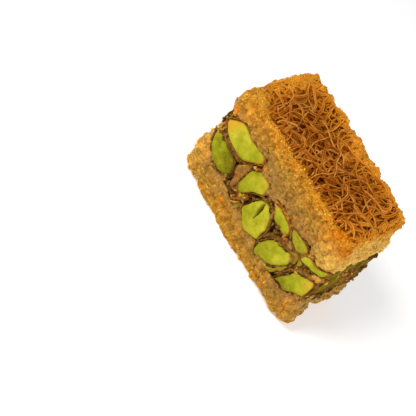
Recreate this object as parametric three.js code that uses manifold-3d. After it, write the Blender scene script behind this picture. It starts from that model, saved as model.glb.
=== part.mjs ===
// A cut block of pistachio kataifi: a compact base layer of shredded pastry, a filling of whole
// pistachio kernels bound in a dark paste, and a thick upper layer with a toasted, uneven top.
// The block was cut by hand, so it is a leaning parallelogram in plan and its base bulges out.
// Millimetres, +Z up. The long cut side faces -Y. The origin is under the middle of the block.
import * as THREE from 'three';
import { mergeVertices } from 'three/addons/utils/BufferGeometryUtils.js';
import Module from 'manifold-3d';

const wasm = await Module();
wasm.setup();

// ---- driving dimensions -------------------------------------------------------------------

const LENGTH = 48.0; // along X, at the foot of the upper layer
const WIDTH = 25.0; // along Y
const BASE_TOP = 6.9; // height of the base layer, where nothing has sunk into it
const FILLING_TOP = 20.2; // height of the filling's upper side, halfway along
const BLOCK_TOP = 30.7; // height of the toasted top, at its middle
const END_SKEW = THREE.MathUtils.degToRad(-10.5); // how far the two ends lean from square, in plan
const GAP = 0.3; // clearance between pieces that touch

const CORNER_POWER = 16; // how square the block is in plan: higher is sharper
const BASE_LEFT_BULGE = 0.5; // how far the base layer squeezes out at the left end
const BASE_RIGHT_BULGE = 1.5; // at the right end
const BASE_SIDE_BULGE = 0.4; // and along the front side
const FILLING_INSET = 1.3; // how far the paste lies behind the cut faces
const LEFT_TAPER = { front: 4.0, back: 2.4 }; // how far the left end draws in towards the top
const LEFT_REACH = { front: 1.0, back: 0.6 }; // and how far the upper layer sticks out there
const RIGHT_TAPER = 1.4; // how far the right end draws in
const BACK_REACH = { left: 0.6, middle: 1.25, right: -0.2 }; // how far it sticks out behind
const TOP_EDGE_RADIUS = 0.9;
const TOP_EDGE_DROP = 0.3; // how much lower the rim is than the middle
const FOOT_EDGE_RADIUS = 0.9;
// The base has crumbled away under the right end, most of all behind its front corner.
const RIGHT_FOOT_RADIUS = { front: 3.0, back: 5.4 };
const RIGHT_FOOT_BROKEN = 2.0;
// Where the shapes at two corners blend into each other, in half widths or half lengths.
const FOOT_BLEND = [-0.75, -0.4];
const LEFT_BLEND = [-1, 0.4];
const BACK_LEFT_BLEND = [-1, -0.7];
const BACK_RIGHT_BLEND = [0.5, 1];
const SIDE_WAVE = 0.28; // waviness of the cut sides
const BASE_DIP = 2.4; // how far the kernels have sunk into the base, at the dip's middle
const BASE_DIP_AT = 9.0; // where the dip lies along the front side
const BASE_DIP_WIDTH = 6.0;
const FILLING_STEP = 1.2; // how much the filling is thicker at one end, and thinner at the other
const FILLING_STEP_AT = -4.0; // where it changes along the front side
const TOP_RELIEF = 0.45; // lumps in the toasted top
const SIDE_TO_SIDE = 0.6; // how far the dip and the step wander in X, per mm across the block

// ---- solids -------------------------------------------------------------------------------

// From one value to another, as t runs over the range.
function blend(from, to, range, t) {
  return THREE.MathUtils.lerp(from, to, THREE.MathUtils.smoothstep(t, ...range));
}

// A three.js geometry as a solid that can be joined and cut.
function solidFrom(geometry) {
  geometry.deleteAttribute('normal');
  geometry.deleteAttribute('uv');
  const merged = mergeVertices(geometry, 1e-4);
  return new wasm.Manifold(new wasm.Mesh({
    numProp: 3,
    vertProperties: merged.getAttribute('position').array,
    triVerts: new Uint32Array(merged.index.array),
  }));
}

function geometryFrom(solid) {
  const mesh = solid.getMesh();
  const geometry = new THREE.BufferGeometry();
  geometry.setAttribute('position', new THREE.BufferAttribute(mesh.vertProperties, 3));
  geometry.setIndex(new THREE.BufferAttribute(mesh.triVerts, 1));
  geometry.computeVertexNormals();
  return geometry;
}

function moveEachPoint(geometry, move) {
  const positions = geometry.getAttribute('position');
  const point = new THREE.Vector3();
  for (let i = 0; i < positions.count; i += 1) {
    point.fromBufferAttribute(positions, i);
    move(point);
    positions.setXYZ(i, point.x, point.y, point.z);
  }
  return geometry;
}

// The faces between the layers: the base has a dip, and the filling is thicker at one end.
function baseTop(x, y) {
  const fromDip = (x - BASE_DIP_AT + SIDE_TO_SIDE * (y + WIDTH / 2)) / BASE_DIP_WIDTH;
  return BASE_TOP - BASE_DIP * Math.exp(-fromDip * fromDip);
}

function fillingTop(x, y) {
  const fromStep = x - FILLING_STEP_AT - SIDE_TO_SIDE * (y + WIDTH / 2);
  return FILLING_TOP - FILLING_STEP * Math.tanh(fromStep / 4);
}

// The lumps of the toasted top, over the whole block.
function topRelief(x, y) {
  const broad = Math.sin(x / 5.3 + y / 7.1) * Math.cos(y / 3.9 - 0.7);
  const fine = Math.sin(x / 2.1 - 1.1) * Math.sin(y / 1.9 + 0.5);
  return TOP_RELIEF * (0.7 * broad + 0.3 * fine);
}

// One layer of the block. Its box is bent to a rounded, leaning outline: inset(h, p) gives how
// far its ends and sides lie inside the full length and width, h running from 0 at its foot to 1,
// and p saying which end and side it is.
function layer({ steps, foot, head, inset }) {
  const box = new THREE.BoxGeometry(2, 2, 1, ...steps);
  return solidFrom(moveEachPoint(box, (p) => {
    const h = p.z + 0.5;
    const edge = Math.max(Math.abs(p.x), Math.abs(p.y));
    const power = Math.abs(p.x) ** CORNER_POWER + Math.abs(p.y) ** CORNER_POWER;
    const rounding = power > 0 ? edge / power ** (1 / CORNER_POWER) : 1;
    const drawnIn = inset(h, p);
    const wave = SIDE_WAVE * Math.sin(3.3 * p.x + 4.1 * p.y + 5.0 * h);
    const y = p.y * rounding * (WIDTH / 2 - drawnIn.sides) + p.y ** 5 * wave * (1 - h * 0.3);
    const x = p.x * rounding * (LENGTH / 2 - drawnIn.ends) + p.x ** 5 * wave
      + y * Math.tan(END_SKEW);
    p.set(x, y, THREE.MathUtils.lerp(foot(x, y, edge), head(x, y, edge), h));
  }));
}

// How far a rounded edge of that radius draws in, at a distance from the edge.
function roundedEdge(radius, distance) {
  const t = THREE.MathUtils.clamp(1 - distance / radius, 0, 1);
  return radius * (1 - Math.sqrt(1 - t * t));
}

function baseLayer() {
  return layer({
    steps: [16, 8, 3],
    foot: () => 0,
    head: baseTop,
    inset: (h, p) => {
      const swell = Math.sin(Math.PI * (0.25 + 0.55 * h));
      const edge = roundedEdge(FOOT_EDGE_RADIUS, h * BASE_TOP);
      const { front, back } = RIGHT_FOOT_RADIUS;
      const rightEdge = roundedEdge(blend(front, back, FOOT_BLEND, p.y), h * BASE_TOP)
        + blend(0, RIGHT_FOOT_BROKEN, FOOT_BLEND, p.y) * (1 - h);
      return {
        ends: p.x > 0 ? rightEdge - BASE_RIGHT_BULGE * swell : edge - BASE_LEFT_BULGE * swell,
        sides: p.y > 0 ? edge : edge - BASE_SIDE_BULGE * swell,
      };
    },
  });
}

function fillingLayer() {
  return layer({
    steps: [14, 8, 3],
    foot: (x, y) => baseTop(x, y) + GAP,
    head: (x, y) => fillingTop(x, y) - GAP,
    inset: () => ({ ends: FILLING_INSET, sides: FILLING_INSET }),
  });
}

function topLayer() {
  const height = BLOCK_TOP - FILLING_TOP;
  return layer({
    steps: [16, 8, 4],
    foot: fillingTop,
    head: (x, y, edge) => BLOCK_TOP + topRelief(x, y) - TOP_EDGE_DROP * edge ** 6,
    inset: (h, p) => {
      const edge = roundedEdge(TOP_EDGE_RADIUS, (1 - h) * height);
      const leftTaper = blend(LEFT_TAPER.front, LEFT_TAPER.back, LEFT_BLEND, p.y);
      const leftReach = blend(LEFT_REACH.front, LEFT_REACH.back, LEFT_BLEND, p.y);
      const { left, middle, right } = BACK_REACH;
      const backReach = blend(left, middle, BACK_LEFT_BLEND, p.x)
        + blend(0, right - middle, BACK_RIGHT_BLEND, p.x);
      return {
        ends: edge + (p.x > 0 ? RIGHT_TAPER * h ** 2 : leftTaper * h ** 3 - leftReach),
        sides: p.y > 0 ? edge - backReach : edge,
      };
    },
  });
}

// ---- pistachio kernels --------------------------------------------------------------------

// The four cut faces. A kernel is placed by its distance along the face, from its middle, and
// its height.
const END_LINE = new THREE.Vector3(Math.tan(END_SKEW), 1, 0);
const BACK_MIDDLE = END_LINE.clone().multiplyScalar(WIDTH / 2);
const FACES = {
  front: { middle: BACK_MIDDLE.clone().negate(), along: new THREE.Vector3(1, 0, 0) },
  right: { middle: new THREE.Vector3(LENGTH / 2, 0, 0), along: END_LINE.clone().normalize() },
  back: { middle: BACK_MIDDLE, along: new THREE.Vector3(-1, 0, 0) },
  left: {
    middle: new THREE.Vector3(-LENGTH / 2, 0, 0),
    along: END_LINE.clone().normalize().negate(),
  },
};

// Each kernel: distance along its face, height, length, thickness, how it leans in degrees, and
// how deep it reaches into the block.
const KERNELS = {
  front: [
    [-14.9, 18.4, 15.0, 6.3, 4, 6.6],
    [-16.9, 10.9, 10.6, 6.6, -9, 6.2],
    [-5.2, 14.5, 10.8, 6.6, 66, 6.4],
    [1.4, 10.3, 11.2, 9.0, 92, 7.4],
    [11.1, 9.3, 12.8, 7.6, 43, 7.0],
    [6.8, 16.5, 8.0, 3.6, -8, 4.6],
    [13.8, 17.4, 7.4, 3.2, -2, 4.4],
    [19.6, 10.5, 11.4, 6.0, 44, 5.2],
    [20.2, 17.4, 8.4, 3.0, 27, 4.2],
    [-10.2, 12.6, 9.0, 3.2, 76, 5.0],
  ],
  right: [
    [-3.6, 17.6, 13.4, 3.0, 6, 4.6],
    [-3.0, 11.9, 9.4, 4.4, 18, 5.4],
    [7.2, 16.6, 6.4, 3.4, -8, 4.6],
    [6.4, 11.4, 7.6, 5.6, 50, 5.0],
  ],
  back: [
    [-18.6, 15.6, 9.6, 6.8, 55, 5.6],
    [-12.0, 10.0, 13.6, 7.2, 12, 6.4],
    [-10.2, 17.2, 11.0, 5.2, -9, 5.0],
    [-2.2, 13.2, 12.4, 7.2, 80, 6.4],
    [4.4, 9.4, 9.6, 6.4, -20, 5.6],
    [6.0, 16.6, 13.6, 6.2, 10, 6.0],
    [13.0, 11.0, 11.8, 6.8, -52, 6.2],
    [19.0, 15.4, 10.2, 6.2, -66, 5.4],
    [19.2, 9.4, 8.6, 4.8, 8, 4.8],
  ],
  left: [
    [-6.4, 12.3, 10.8, 6.0, 74, 5.0],
    [0.6, 16.8, 11.2, 5.4, -6, 5.2],
    [0.4, 10.5, 10.0, 6.0, 18, 5.2],
    [7.4, 13.8, 10.4, 5.4, -62, 4.8],
  ],
};

const KERNEL_PROUD = 0.2; // how far a kernel stands out of its cut face
const KERNEL_POINT = 0.34; // how much thinner a kernel is towards its pointed end
const KERNEL_BEND = 0.05; // sideways bend, as a share of its length

// A kernel's shape: a long drop with one pointed end, slightly bent, its outer side cut flat by
// the knife. Its length lies along X, its depth along Y and its thickness along Z.
function kernelGeometry(length, thickness, depth, swell) {
  const ball = new THREE.SphereGeometry(1, 8, 6);
  ball.rotateZ(-Math.PI / 2);
  return moveEachPoint(ball, (p) => {
    const taper = 1 - KERNEL_POINT * Math.max(0, p.x) ** 2;
    const bend = KERNEL_BEND * length * (1 - p.x * p.x);
    const cut = -0.42 * depth - swell;
    p.set(
      p.x * (length / 2 + swell),
      Math.max(cut, p.y * taper * (depth / 2 + swell)),
      p.z * taper * (thickness / 2 + swell) + bend,
    );
  });
}

// The kernel in its place on a cut face, swollen on every side by swell.
function placedKernel(face, [along, height, length, thickness, leanDegrees, depth], swell) {
  const { middle, along: direction } = FACES[face];
  const inward = new THREE.Vector3(0, 0, 1).cross(direction);
  const centre = new THREE.Vector3(middle.x, middle.y, height)
    .addScaledVector(direction, along)
    .addScaledVector(inward, 0.42 * depth - KERNEL_PROUD);
  const lean = new THREE.Matrix4().makeRotationY(-THREE.MathUtils.degToRad(leanDegrees));
  const turn = new THREE.Matrix4()
    .makeBasis(direction, inward, new THREE.Vector3(0, 0, 1))
    .setPosition(centre);
  const geometry = kernelGeometry(length, thickness, depth, swell);
  return solidFrom(geometry.applyMatrix4(turn.multiply(lean)));
}

// ---- the block ----------------------------------------------------------------------------

const toastedPastry = new THREE.MeshStandardMaterial({ color: 0xb8772c, roughness: 0.62 });
const soakedPastry = new THREE.MeshStandardMaterial({ color: 0xb98d4c, roughness: 0.7 });
const darkPaste = new THREE.MeshStandardMaterial({ color: 0x4f3a20, roughness: 0.75 });
const pistachio = new THREE.MeshStandardMaterial({ color: 0xa3a82a, roughness: 0.5 });

const block = new THREE.Group();

function addNode(name, solid, material) {
  const mesh = new THREE.Mesh(geometryFrom(solid), material);
  mesh.name = name;
  block.add(mesh);
}

// Kernels press on each other: each gives way to those placed before it.
const placed = [];
const pockets = [];
for (const [face, rows] of Object.entries(KERNELS)) {
  rows.forEach((row, index) => {
    let kernel = placedKernel(face, row, 0);
    for (const pocket of pockets) kernel = kernel.subtract(pocket);
    placed.push({ name: `kernel_${face}_${index + 1}`, kernel });
    pockets.push(placedKernel(face, row, GAP));
  });
}

// The layers and the paste are moulded round the kernels.
let base = baseLayer();
let filling = fillingLayer();
let top = topLayer();
for (const pocket of pockets) {
  base = base.subtract(pocket);
  filling = filling.subtract(pocket);
  top = top.subtract(pocket);
}

addNode('base_layer', base, soakedPastry);
addNode('filling_paste', filling, darkPaste);
addNode('top_layer', top, toastedPastry);
for (const { name, kernel } of placed) addNode(name, kernel, pistachio);

export default block;
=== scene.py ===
import math

import bmesh
import bpy
import numpy as np
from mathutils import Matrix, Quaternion, Vector, noise


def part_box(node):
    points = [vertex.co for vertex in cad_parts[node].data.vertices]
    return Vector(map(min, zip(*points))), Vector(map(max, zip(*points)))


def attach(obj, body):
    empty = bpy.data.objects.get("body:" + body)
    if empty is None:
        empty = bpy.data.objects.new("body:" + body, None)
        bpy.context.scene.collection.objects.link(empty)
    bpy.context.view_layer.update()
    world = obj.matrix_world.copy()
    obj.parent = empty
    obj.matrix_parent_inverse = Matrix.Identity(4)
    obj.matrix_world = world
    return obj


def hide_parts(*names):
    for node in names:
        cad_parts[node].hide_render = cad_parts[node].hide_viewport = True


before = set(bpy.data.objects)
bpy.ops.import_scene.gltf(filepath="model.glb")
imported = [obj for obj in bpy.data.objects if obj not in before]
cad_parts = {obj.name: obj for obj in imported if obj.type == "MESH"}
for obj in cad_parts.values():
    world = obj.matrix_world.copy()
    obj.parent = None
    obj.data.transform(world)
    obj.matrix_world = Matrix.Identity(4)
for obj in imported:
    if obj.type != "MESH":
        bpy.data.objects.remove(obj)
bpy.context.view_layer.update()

mm = 0.001
print("frame loaded, pieces:", len(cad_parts))


# measures of the whole piece, in millimetres

block = {
    "length": 48.0,  # along X, where the upper layer starts
    "width": 25.0,  # along Y
    "skew": math.radians(-10.5),  # the lean of the two cut ends, in plan
    "baseTop": 6.9,
    "baseDip": (9.0, 6.0, 2.4),  # place along the front, width and depth
    "fillingTop": 20.2,
    "fillingStep": (-4.0, 4.0, 1.2),  # place along the front, width and height
    "wander": 0.6,  # how far dip and step shift in X, per mm across the block
    "cornerPower": 16,
    "wave": (0.28, 3.3, 4.1, 5.0),  # of the sides: depth, then radians along, across and up
}
block["top"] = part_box("top_layer")[1].z / mm
block["tan"] = math.tan(block["skew"])
block["frontShift"] = block["tan"] * block["width"] / 2  # from the front's middle to X = 0
lowest = 0.02  # height of the lowest points over the floor
up = np.array([0, 0, 1.0])


def alongBlock(x, y):
    return x - y * block["tan"]


def fromFront(x, y, place, width):
    return (x - place) / width, (y + block["width"] / 2) * block["wander"] / width


def baseTop(x, y):
    place, width, depth = block["baseDip"]
    along, across = fromFront(x, y, place, width)
    return block["baseTop"] - depth * np.exp(-(along + across) ** 2)


def fillingTop(x, y):
    place, width, height = block["fillingStep"]
    along, across = fromFront(x, y, place, width)
    return block["fillingTop"] - height * np.tanh(along - across)


def smooth(low, high, value):
    t = np.clip((value - low) / (high - low), 0, 1)
    return t * t * (3 - 2 * t)


def roundedEdge(radius, distance):
    t = np.clip(1 - distance / radius, 0, 1)
    return radius * (1 - np.sqrt(1 - t * t))


def unitRows(ways):
    return ways / np.maximum(np.linalg.norm(ways, axis=-1, keepdims=True), 1e-9)


def bearing(degrees):
    turn = math.radians(degrees)
    return np.array([math.cos(turn), math.sin(turn)])


# noise over points, and mesh making

def lumps(points, size, seed=0, octaves=2):
    rows = (points / size + 31.7 * seed).tolist()
    return np.array([noise.fractal(row, 0.9, 2.1, octaves) for row in rows])


def flatLumps(path, height, size, seed, octaves=2):
    return lumps(np.c_[path, np.full(len(path), height)], size, seed, octaves)


def grains(points, size, seed=0):
    rows = (points / size + 17.3 * seed).tolist()
    found = [noise.voronoi(row)[0] for row in rows]
    return np.array([d[1] - d[0] for d in found])


def boxSkin(steps):
    steps = np.array(steps)
    onSkin = np.zeros(tuple(steps + 1), bool)
    for axis in range(3):
        for end in (0, -1):
            place = [slice(None)] * 3
            place[axis] = end
            onSkin[tuple(place)] = True
    ids = np.full(onSkin.shape, -1)
    ids[onSkin] = np.arange(onSkin.sum())
    points = np.argwhere(onSkin) / steps * np.array([2, 2, 1]) - np.array([1, 1, 0])
    quads = []
    for axis in range(3):
        for end, turned in ((0, axis != 1), (-1, axis == 1)):
            sheet = np.take(ids, end, axis)
            quad = [sheet[:-1, :-1], sheet[1:, :-1], sheet[1:, 1:], sheet[:-1, 1:]]
            quad = np.stack(quad, -1).reshape(-1, 4)
            quads.append(quad[:, ::-1] if turned else quad)
    return points, np.concatenate(quads)


def pointNormals(points, quads):
    a, b, c, d = (points[quads[:, i]] for i in range(4))
    across = np.cross(c - a, d - b)
    normals = np.zeros_like(points)
    for i in range(4):
        np.add.at(normals, quads[:, i], across)
    return unitRows(normals)


def newPiece(name, points, faceGroups, material, replaced=(), values=None):
    mesh = bpy.data.meshes.new(name)
    mesh.vertices.add(len(points))
    mesh.vertices.foreach_set("co", (np.asarray(points) * mm).astype(np.float32).ravel())
    corners = np.concatenate([g.ravel() for g in faceGroups]).astype(np.int32)
    sizes = np.concatenate([np.full(len(g), g.shape[1]) for g in faceGroups]).astype(np.int32)
    mesh.loops.add(len(corners))
    mesh.loops.foreach_set("vertex_index", corners)
    mesh.polygons.add(len(sizes))
    starts = np.concatenate([[0], np.cumsum(sizes)[:-1]]).astype(np.int32)
    mesh.polygons.foreach_set("loop_start", starts)
    mesh.polygons.foreach_set("loop_total", sizes)
    mesh.polygons.foreach_set("use_smooth", np.ones(len(sizes), bool))
    mesh.update(calc_edges=True)
    mesh.validate()
    for key, data in (values or {}).items():
        layer = mesh.attributes.new(key, "FLOAT", "POINT")
        layer.data.foreach_set("value", np.asarray(data, np.float32))
    mesh.materials.append(material)
    piece = bpy.data.objects.new(name, mesh)
    bpy.context.scene.collection.objects.link(piece)
    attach(piece, "root")
    if replaced:
        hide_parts(*replaced)
    print("made", name, len(points), "points", len(sizes), "faces")
    return piece


def tubes(paths, sideways, outward, radius, sides, endShare=0.6):
    count, steps, _ = paths.shape
    turn = np.linspace(0, 2 * np.pi, sides, endpoint=False)
    along = np.linspace(-1, 1, steps)
    taper = 1 - (1 - endShare) * np.abs(along) ** 6
    ring = (
        sideways[:, :, None, :] * np.cos(turn)[None, None, :, None]
        + outward[:, :, None, :] * np.sin(turn)[None, None, :, None]
    )
    ring = ring * (radius[:, None] * taper[None, :])[:, :, None, None]
    points = (paths[:, :, None, :] + ring).reshape(-1, 3)
    first = (np.arange(count) * steps * sides)[:, None, None]
    k = np.arange(steps - 1)[None, :, None] * sides
    j = np.arange(sides)[None, None, :]
    nextJ = (j + 1) % sides
    quads = np.stack([first + k + j, first + k + nextJ,
                      first + k + sides + nextJ, first + k + sides + j], -1).reshape(-1, 4)
    start = first[:, 0] + np.arange(sides)[None, :]
    caps = np.concatenate([start[:, ::-1], start + (steps - 1) * sides])
    return points, [quads, caps]


# finishes

def linear(red, green, blue):
    parts = [c / 255 for c in (red, green, blue)]
    return [c / 12.92 if c <= 0.04045 else ((c + 0.055) / 1.055) ** 2.4 for c in parts] + [1]


class Finish:
    def __init__(self, name, rough, specular=0.35, scatter=0.0, scatterReach=0.8):
        self.material = bpy.data.materials.new(name)
        self.material.use_nodes = True
        self.tree = self.material.node_tree
        self.shader = self.tree.nodes["Principled BSDF"]
        for socket, value in {
            "Roughness": rough,
            "Specular IOR Level": specular,
            "Specular Tint": (1.0, 0.85, 0.6, 1.0),
            "Subsurface Weight": scatter,
            "Subsurface Radius": (1.0, 0.8, 0.5),
            "Subsurface Scale": scatterReach * mm,
        }.items():
            self.shader.inputs[socket].default_value = value
        self.place = self.tree.nodes.new("ShaderNodeTexCoord").outputs["Object"]

    def link(self, source, socket):
        if isinstance(source, (int, float, list)):
            socket.default_value = source
        else:
            self.tree.links.new(source, socket)

    def attribute(self, name):
        made = self.tree.nodes.new("ShaderNodeAttribute")
        made.attribute_name = name
        return made.outputs["Fac"]

    def axis(self, letter):
        made = self.tree.nodes.new("ShaderNodeSeparateXYZ")
        self.link(self.place, made.inputs[0])
        return made.outputs[letter]

    def math(self, kind, a, b=0.0, clamp=False):
        made = self.tree.nodes.new("ShaderNodeMath")
        made.operation, made.use_clamp = kind, clamp
        self.link(a, made.inputs[0])
        self.link(b, made.inputs[1])
        return made.outputs[0]

    def spread(self, value, low, high, newLow=0.0, newHigh=1.0):
        made = self.tree.nodes.new("ShaderNodeMapRange")
        for socket, number in zip(made.inputs, (value, low, high, newLow, newHigh)):
            self.link(number, socket)
        return made.outputs[0]

    def cloud(self, size, detail=2.0, roughness=0.5, seed=0.0):
        made = self.tree.nodes.new("ShaderNodeTexNoise")
        made.noise_dimensions = "4D"
        self.link(self.place, made.inputs["Vector"])
        made.inputs["W"].default_value = seed
        made.inputs["Scale"].default_value = 1 / (size * mm)
        made.inputs["Detail"].default_value = detail
        made.inputs["Roughness"].default_value = roughness
        return made.outputs[0]

    def patches(self, size, newLow, newHigh, low=0.3, high=0.7, **more):
        return self.spread(self.cloud(size, **more), low, high, newLow, newHigh)

    def uneven(self, name, size, reach, seed):
        patches = self.patches(size, -reach, reach, seed=seed)
        return self.math("ADD", self.attribute(name), patches, True)

    def ramp(self, value, stops):
        made = self.tree.nodes.new("ShaderNodeValToRGB")
        points = made.color_ramp.elements
        while len(points) < len(stops):
            points.new(0.5)
        for point, (place, colour) in zip(points, stops):
            point.position = place
            point.color = linear(*colour)
        self.link(value, made.inputs[0])
        self.colour = made.outputs[0]

    def mix(self, share, other, kind="MIX"):
        made = self.tree.nodes.new("ShaderNodeMix")
        made.data_type, made.blend_type = "RGBA", kind
        for number, source in ((0, share), (6, self.colour), (7, other)):
            self.link(source, made.inputs[number])
        self.colour = made.outputs[2]

    def tint(self, share, colour):
        self.mix(share, linear(*colour))

    def shade(self, strength):
        self.mix(1.0, strength, "MULTIPLY")

    def done(self, bumpHeight, bumpDepth, bumpStrength=0.6):
        self.link(self.colour, self.shader.inputs["Base Color"])
        bump = self.tree.nodes.new("ShaderNodeBump")
        bump.inputs["Strength"].default_value = bumpStrength
        bump.inputs["Distance"].default_value = bumpDepth * mm
        self.link(bumpHeight, bump.inputs["Height"])
        self.link(bump.outputs[0], self.shader.inputs["Normal"])
        return self.material


pastryLook = {
    "top": 31.0,  # the height where its colours end
    "heights": [  # height in mm, colour at that height
        (0.0, (196, 138, 30)),
        (2.5, (190, 134, 40)),
        (5.5, (174, 127, 50)),
        (8.0, (162, 120, 58)),
        (17.5, (158, 116, 56)),
        (21.0, (170, 122, 54)),
        (24.0, (190, 136, 48)),
        (26.5, (208, 132, 24)),
        (28.5, (216, 134, 18)),
        (30.8, (218, 136, 28)),
    ],
    "gold": (222, 146, 34),
    "patches": (208, 124, 22),
    # pale is also the colour of the pale bits and crumbs, partly the pastry's own pale grains, partly
    # painted glints
    "pale": (252, 192, 82),
    "fleck": (238, 178, 74),
    "toast": (216, 120, 6),
    # colour of painted shade in crevices and in the mat's bed
    "creviceShade": (132, 76, 12),
    "toastSpots": [  # along the front, height and radius
        (18.8, 28.2, 2.8), (22.2, 26.8, 2.5), (-8.8, 4.2, 0.9), (22.6, 5.6, 1.0), (-22.6, 21.4, 1.0)],
}


def bandShares(points):
    x, y, z = points.T
    u = alongBlock(x, y)
    left, right = smooth(-13.0, -21.5, u), smooth(14.5, 23.5, u)
    top = smooth(19.0, 22.5, z)
    foot = smooth(-17.5, -23.0, u) * (1 - top)
    gold = np.maximum(0.85 * left * smooth(20.0, 26.0, z), 0.7 * foot)
    pale = np.maximum(0.95 * right * smooth(9.0, 16.0, z) * smooth(29.5, 26.0, z), 0.4 * foot)
    toast = np.zeros(len(u))
    for along, height, size in pastryLook["toastSpots"]:
        away = (x + block["frontShift"] - along) ** 2 + (z - height) ** 2
        near = np.exp(-away / size ** 2)
        toast = np.maximum(toast, near * (y < -9))
    return {"gold": gold, "pale": pale, "toast": toast}


def pastryFinish(name, rough):
    f = Finish(name, rough, specular=0.12, scatter=0.5, scatterReach=1.1)
    look, top = pastryLook, pastryLook["top"]
    wobble = f.patches(4.5, -1.2 * mm, 1.2 * mm, seed=2.0)
    height = f.spread(f.math("ADD", f.axis("Z"), wobble), 0.0, top * mm)
    f.ramp(height, [(z / top, colour) for z, colour in look["heights"]])
    f.tint(f.attribute("gold"), look["gold"])
    f.tint(f.patches(3.6, 0.0, 0.5, 0.55, 0.75, seed=5.0), look["patches"])
    f.tint(f.attribute("pale"), look["pale"])
    f.tint(f.attribute("toast"), look["toast"])
    f.tint(f.patches(0.9, 0.0, 0.65, 0.55, 0.68, seed=9.0), look["fleck"])
    f.shade(f.patches(2.0, 0.72, 1.28, detail=3.0, roughness=0.6, seed=12.0))
    # painted shade in the crevices and in the mat's bed
    f.tint(f.spread(f.attribute("paintedShade"), 0.0, 1.0, 0.0, 0.6), look["creviceShade"])
    f.shade(f.spread(f.attribute("shade"), 0.0, 1.0, 0.86, 1.18))
    return f.done(f.cloud(0.45, detail=3.0, roughness=0.65, seed=1.0), 0.3, 0.7)


threadColours = {
    # the dark end of this ramp is partly painted shade for the deep threads, the light end partly a painted
    # highlight for the upper ones
    "byShade": [
        (0.0, (158, 80, 2)),
        (0.3, (156, 78, 6)),
        (0.6, (158, 86, 14)),
        (0.8, (174, 102, 28)),
        (1.0, (200, 132, 54)),
    ],
    "gold": (222, 140, 32),
}


def threadFinish(name):
    f = Finish(name, 0.45, specular=0.06, scatter=0.35, scatterReach=0.6)
    f.ramp(f.uneven("shade", 1.6, 0.2, 3.0), threadColours["byShade"])
    f.tint(f.attribute("gold"), threadColours["gold"])
    return f.done(f.cloud(0.3, seed=4.0), 0.06)


kernelColours = {
    "byTone": [
        (0.0, (202, 188, 58)),
        (0.3, (180, 175, 44)),
        (0.6, (150, 151, 26)),
        (1.0, (108, 102, 14)),
    ],
    "fleck": (206, 192, 82),
    "dark": (122, 118, 20),
    "warm": (206, 156, 44),
    "rim": (126, 84, 32),
}


def kernelFinish(name):
    f = Finish(name, 0.5, specular=0.0, scatter=0.15)
    f.ramp(f.uneven("tone", 2.6, 0.22, 1.0), kernelColours["byTone"])
    f.tint(f.patches(0.5, 0.0, 0.3, 0.52, 0.78, detail=3.0, seed=6.0), kernelColours["fleck"])
    f.tint(f.patches(0.8, 0.0, 0.25, 0.5, 0.8, detail=3.0, seed=11.0), kernelColours["dark"])
    f.tint(f.uneven("warm", 1.6, 0.2, 8.0), kernelColours["warm"])
    f.tint(f.uneven("rim", 0.9, 0.25, 7.0), kernelColours["rim"])
    return f.done(f.cloud(0.35, detail=3.0, seed=2.0), 0.1, 0.5)


skinColours = [
    (0.0, (72, 42, 12)),
    (0.35, (122, 84, 34)),
    (0.6, (154, 112, 50)),
    (0.8, (152, 80, 20)),
    (1.0, (208, 152, 66)),
]


def skinFinish(name):
    f = Finish(name, 0.62, specular=0.0, scatter=0.05)
    f.ramp(f.uneven("shade", 1.3, 0.25, 1.0), skinColours)
    f.shade(f.patches(0.55, 0.45, 1.45, detail=3.0, roughness=0.7, seed=5.0))
    return f.done(f.cloud(0.4, detail=3.0, seed=2.0), 0.25, 0.9)


crumbColours = {
    "patches": [
        (0.3, (90, 56, 20)),
        (0.5, (126, 88, 38)),
        (0.7, (166, 124, 58)),
    ],
    "pale": (188, 142, 66),
    "rust": (158, 80, 20),
    # colour of painted shade in the gaps, recesses and crevices
    "paintedShade": (22, 12, 3),
}


def crumbFinish(name):
    f = Finish(name, 0.7, specular=0.0)
    f.ramp(f.cloud(1.2, detail=3.0, roughness=0.6), crumbColours["patches"])
    f.tint(f.attribute("pale"), crumbColours["pale"])
    f.tint(f.attribute("rust"), crumbColours["rust"])
    f.tint(f.spread(f.attribute("paintedShade"), 0.0, 1.0, 0.0, 0.95), crumbColours["paintedShade"])
    return f.done(f.cloud(0.5, detail=3.0, seed=2.0), 0.2)


pastry = pastryFinish("shredded pastry", 0.36)
thread = threadFinish("toasted threads")
kernel = kernelFinish("pistachio kernel")
skin = skinFinish("kernel skin")
crumb = crumbFinish("dark crumb")
print("finishes made")


# where the kernels lie

endLine = np.array([block["tan"], 1, 0])
endWay = endLine / np.linalg.norm(endLine)
halfWidth, halfLength = block["width"] / 2, block["length"] / 2
cutFaces = {
    "front": (-endLine * halfWidth, np.array([1.0, 0, 0])),
    "right": (np.array([halfLength, 0, 0]), endWay),
    "back": (endLine * halfWidth, np.array([-1.0, 0, 0])),
    "left": (np.array([-halfLength, 0, 0]), -endWay),
}

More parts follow.
